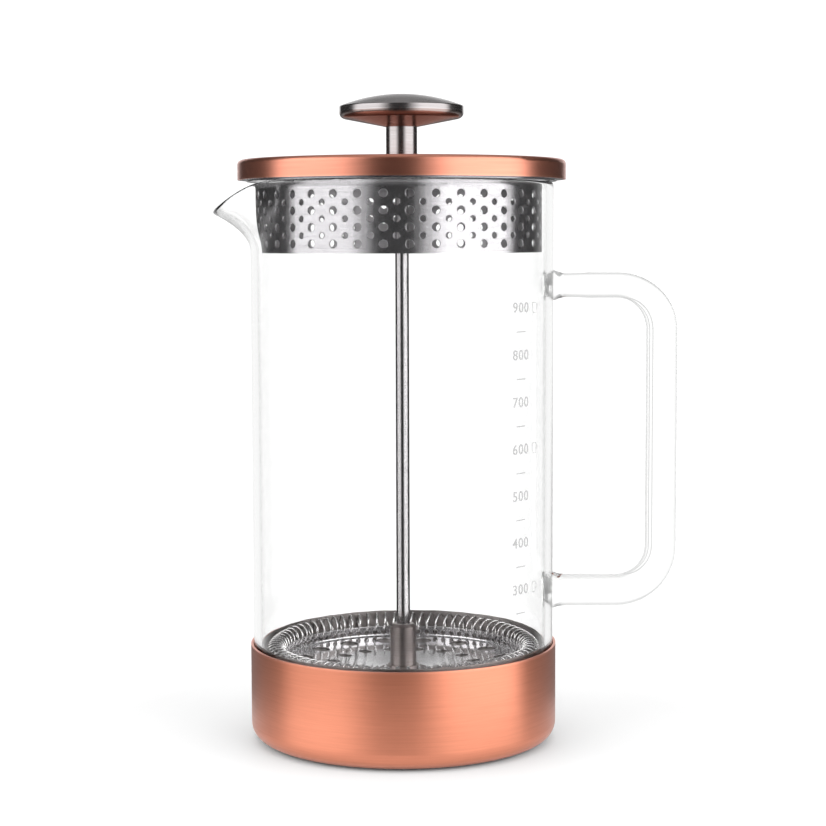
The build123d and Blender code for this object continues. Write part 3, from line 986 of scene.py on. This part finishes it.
# In metal: the dark room, and in it a window of bright backdrop behind the press that fades at the top.
dark_room = 0.05
window_spread = (0.42, 0.22)
window_soft = 0.04
window_foot = (-0.06, 0.02)
window_fade = (0.20, 0.42)
window_top_light = 0.35
spread = stretch(tree, skins, 0.0, 1.0, *window_spread)
inside = reckon(tree, "MULTIPLY", heading["Y"], spread)
inside = reckon(tree, "SUBTRACT", inside, reckon(tree, "ABSOLUTE", heading["X"]))
inside = share_of(tree, inside, -window_soft, window_soft)
inside = reckon(tree, "MULTIPLY", inside, share_of(tree, heading["Z"], *window_foot))
window = stretch(tree, heading["Z"], *window_fade, backdrop_light, window_top_light)
in_metal = blend(tree, inside, dark_room, window)

# In metal as well: the ceiling, the floor far behind, and for the filter and collar the light that comes up
# through the glass or is thrown from one face to the next.
overhead = (0.60, 0.90)
overhead_light = 0.45
far_floor_turn = (math.radians(98), math.radians(112))
far_floor_end = (-0.30, -0.05)
far_floor_light = 0.5
under_end = (-0.45, -0.25)
under_light = 0.2
inner_light = 0.4
far_floor = reckon(tree, "ABSOLUTE", bearing)
far_floor = stretch(tree, far_floor, *far_floor_turn, 0.0, far_floor_light)
far_floor = reckon(tree, "MULTIPLY", far_floor, stretch(tree, heading["Z"], *far_floor_end, 1.0, 0.0))
from_under = stretch(tree, heading["Z"], *under_end, under_light, 0.0)
from_inside = stretch(tree, mirrors, 1.0, 2.0, 0.0, inner_light)
metal_lights = [
    stretch(tree, heading["Z"], *overhead, 0.0, overhead_light),
    reckon(tree, "MULTIPLY", far_floor, outside),
    reckon(tree, "MULTIPLY", from_under, past_beaker),
    reckon(tree, "MULTIPLY", from_inside, past_beaker),
]

# And the two soft boxes, each a bright panel with soft sides and ends.
box_end_edge = math.radians(3)
box_low_share = 0.75
for _name, sides, edges, ends, glow, inside_glow in soft_boxes:
    left, right = [math.radians(side) for side in sides]
    left_soft, right_soft = [math.radians(edge) for edge in edges]
    low, high = [math.sin(math.radians(end)) for end in ends]
    below = reckon(tree, "MULTIPLY", past_beaker, box_low_share)
    shown = stretch(tree, past_beaker, 0.0, 1.0, glow, inside_glow)
    for limit in (
        stretch(tree, bearing, left - left_soft, left + left_soft, 0.0, 1.0),
        stretch(tree, bearing, right - right_soft, right + right_soft, 1.0, 0.0),
        stretch(tree, heading["Z"], high - box_end_edge, high + box_end_edge, 1.0, 0.0),
        stretch(tree, heading["Z"], low - box_end_edge, low + box_end_edge, below, 1.0),
    ):
        shown = reckon(tree, "MULTIPLY", shown, limit)
    metal_lights.append(shown)
for light in metal_lights:
    in_metal = reckon(tree, "MAXIMUM", in_metal, light)

# Through the beaker: clear light, stronger where the walls bend it aside, and one strip that lines the wall.
through_turn = (math.radians(7), math.radians(17))
through_light = (1.27, 1.68)
strip_turn = math.radians(20.5)
strip_width = math.radians(3.5)
strip_light = 1.34
askew = reckon(tree, "ABSOLUTE", turned_to)
in_beaker = stretch(tree, askew, *through_turn, *through_light)
strip = reckon(tree, "COMPARE", turned_to, strip_turn, strip_width)
in_beaker = blend(tree, strip, in_beaker, strip_light)

# Through the handle's rod: the backdrop, greyer at the sides, above and below, with two fine lines.
bar_side = (0.45, 0.62)
bar_light = 0.86
bar_above = (0.40, 0.65)
ceiling_light = 0.80
bar_below = (-0.85, -0.58)
ground_light = 0.82
bar_line_turns = (math.radians(30.6), math.radians(44.2))
bar_line_width = math.radians(2.6)
bar_line_light = 0.75
in_bar = stretch(tree, heading["Y"], *bar_side, bar_light, backdrop_light)
bar_shades = [
    stretch(tree, heading["Z"], *bar_above, backdrop_light, ceiling_light),
    stretch(tree, heading["Z"], *bar_below, ground_light, backdrop_light),
]
for line_turn in bar_line_turns:
    line = reckon(tree, "COMPARE", turned_to, line_turn, bar_line_width)
    bar_shades.append(stretch(tree, line, 0.0, 1.0, backdrop_light, bar_line_light))
for shade in bar_shades:
    in_bar = reckon(tree, "MINIMUM", in_bar, shade)

# Mirrored in the glass itself: a faint veil, bright only where the wall turns edge on.
veil_light = 0.10
glass_edge_light = 0.97
outer_edge = (0.52, 0.88)
inner_edge = (0.50, 0.75)
level_edge = (0.25, 0.45)
outer_veil = stretch(tree, heading["Y"], *outer_edge, veil_light, glass_edge_light)
inner_veil = stretch(tree, heading["Y"], *inner_edge, veil_light, glass_edge_light)
level_veil = reckon(tree, "ABSOLUTE", heading["Z"])
level_veil = stretch(tree, level_veil, *level_edge, veil_light, glass_edge_light)
inner_veil = reckon(tree, "MAXIMUM", inner_veil, level_veil)
veil = blend(tree, in_wall, outer_veil, inner_veil)

# Which ray gets which light: a sharp reflection that has crossed fewer than four skins of glass is the
# glass's own, and every other reflection is metal's.
glass_skins = 3.5
in_glass = blend(tree, past_wall, in_bar, in_beaker)
in_glass = blend(tree, mirrored, in_glass, veil)
glassy = reckon(tree, "MULTIPLY", path["Is Singular Ray"], reckon(tree, "LESS_THAN", skins, glass_skins))
metallic = reckon(tree, "SUBTRACT", mirrored, glassy, clamp=True)
scattered = reached(tree, path["Diffuse Depth"], 1)
light = blend(tree, metallic, in_glass, in_metal)
light = blend(tree, path["Is Camera Ray"], light, backdrop_light)
light = blend(tree, scattered, light, room_light)
tree.links.new(light, tree.nodes["Background"].inputs["Strength"])
tree.nodes["Background"].inputs["Color"].default_value = (1, 1, 1, 1)

# Camera. It stands where the photograph's did, a little above the middle of the press, with a long lens, and
# its light may pass through many skins of glass.
camera_place = (0.00341, -0.6575, 0.16446)
camera_pitch = math.radians(84.981)
camera_roll = math.radians(-0.182)
camera_lens = 88.16
camera_sensor = 36.0
glass_bounces = 24
metal_bounces = 8

lens = bpy.data.cameras.new("photo_camera")
lens.lens = camera_lens
lens.sensor_width = camera_sensor
camera = bpy.data.objects.new("photo_camera", lens)
bpy.context.collection.objects.link(camera)
camera.location = camera_place
tilt = Euler((camera_pitch, 0, 0)).to_matrix() @ Matrix.Rotation(camera_roll, 3, "Z")
camera.rotation_euler = tilt.to_euler()
scene = bpy.context.scene
scene.camera = camera
scene.view_settings.view_transform = "Standard"
scene.cycles.max_bounces = glass_bounces
scene.cycles.transmission_bounces = glass_bounces
scene.cycles.glossy_bounces = metal_bounces
scene.cycles.caustics_reflective = False
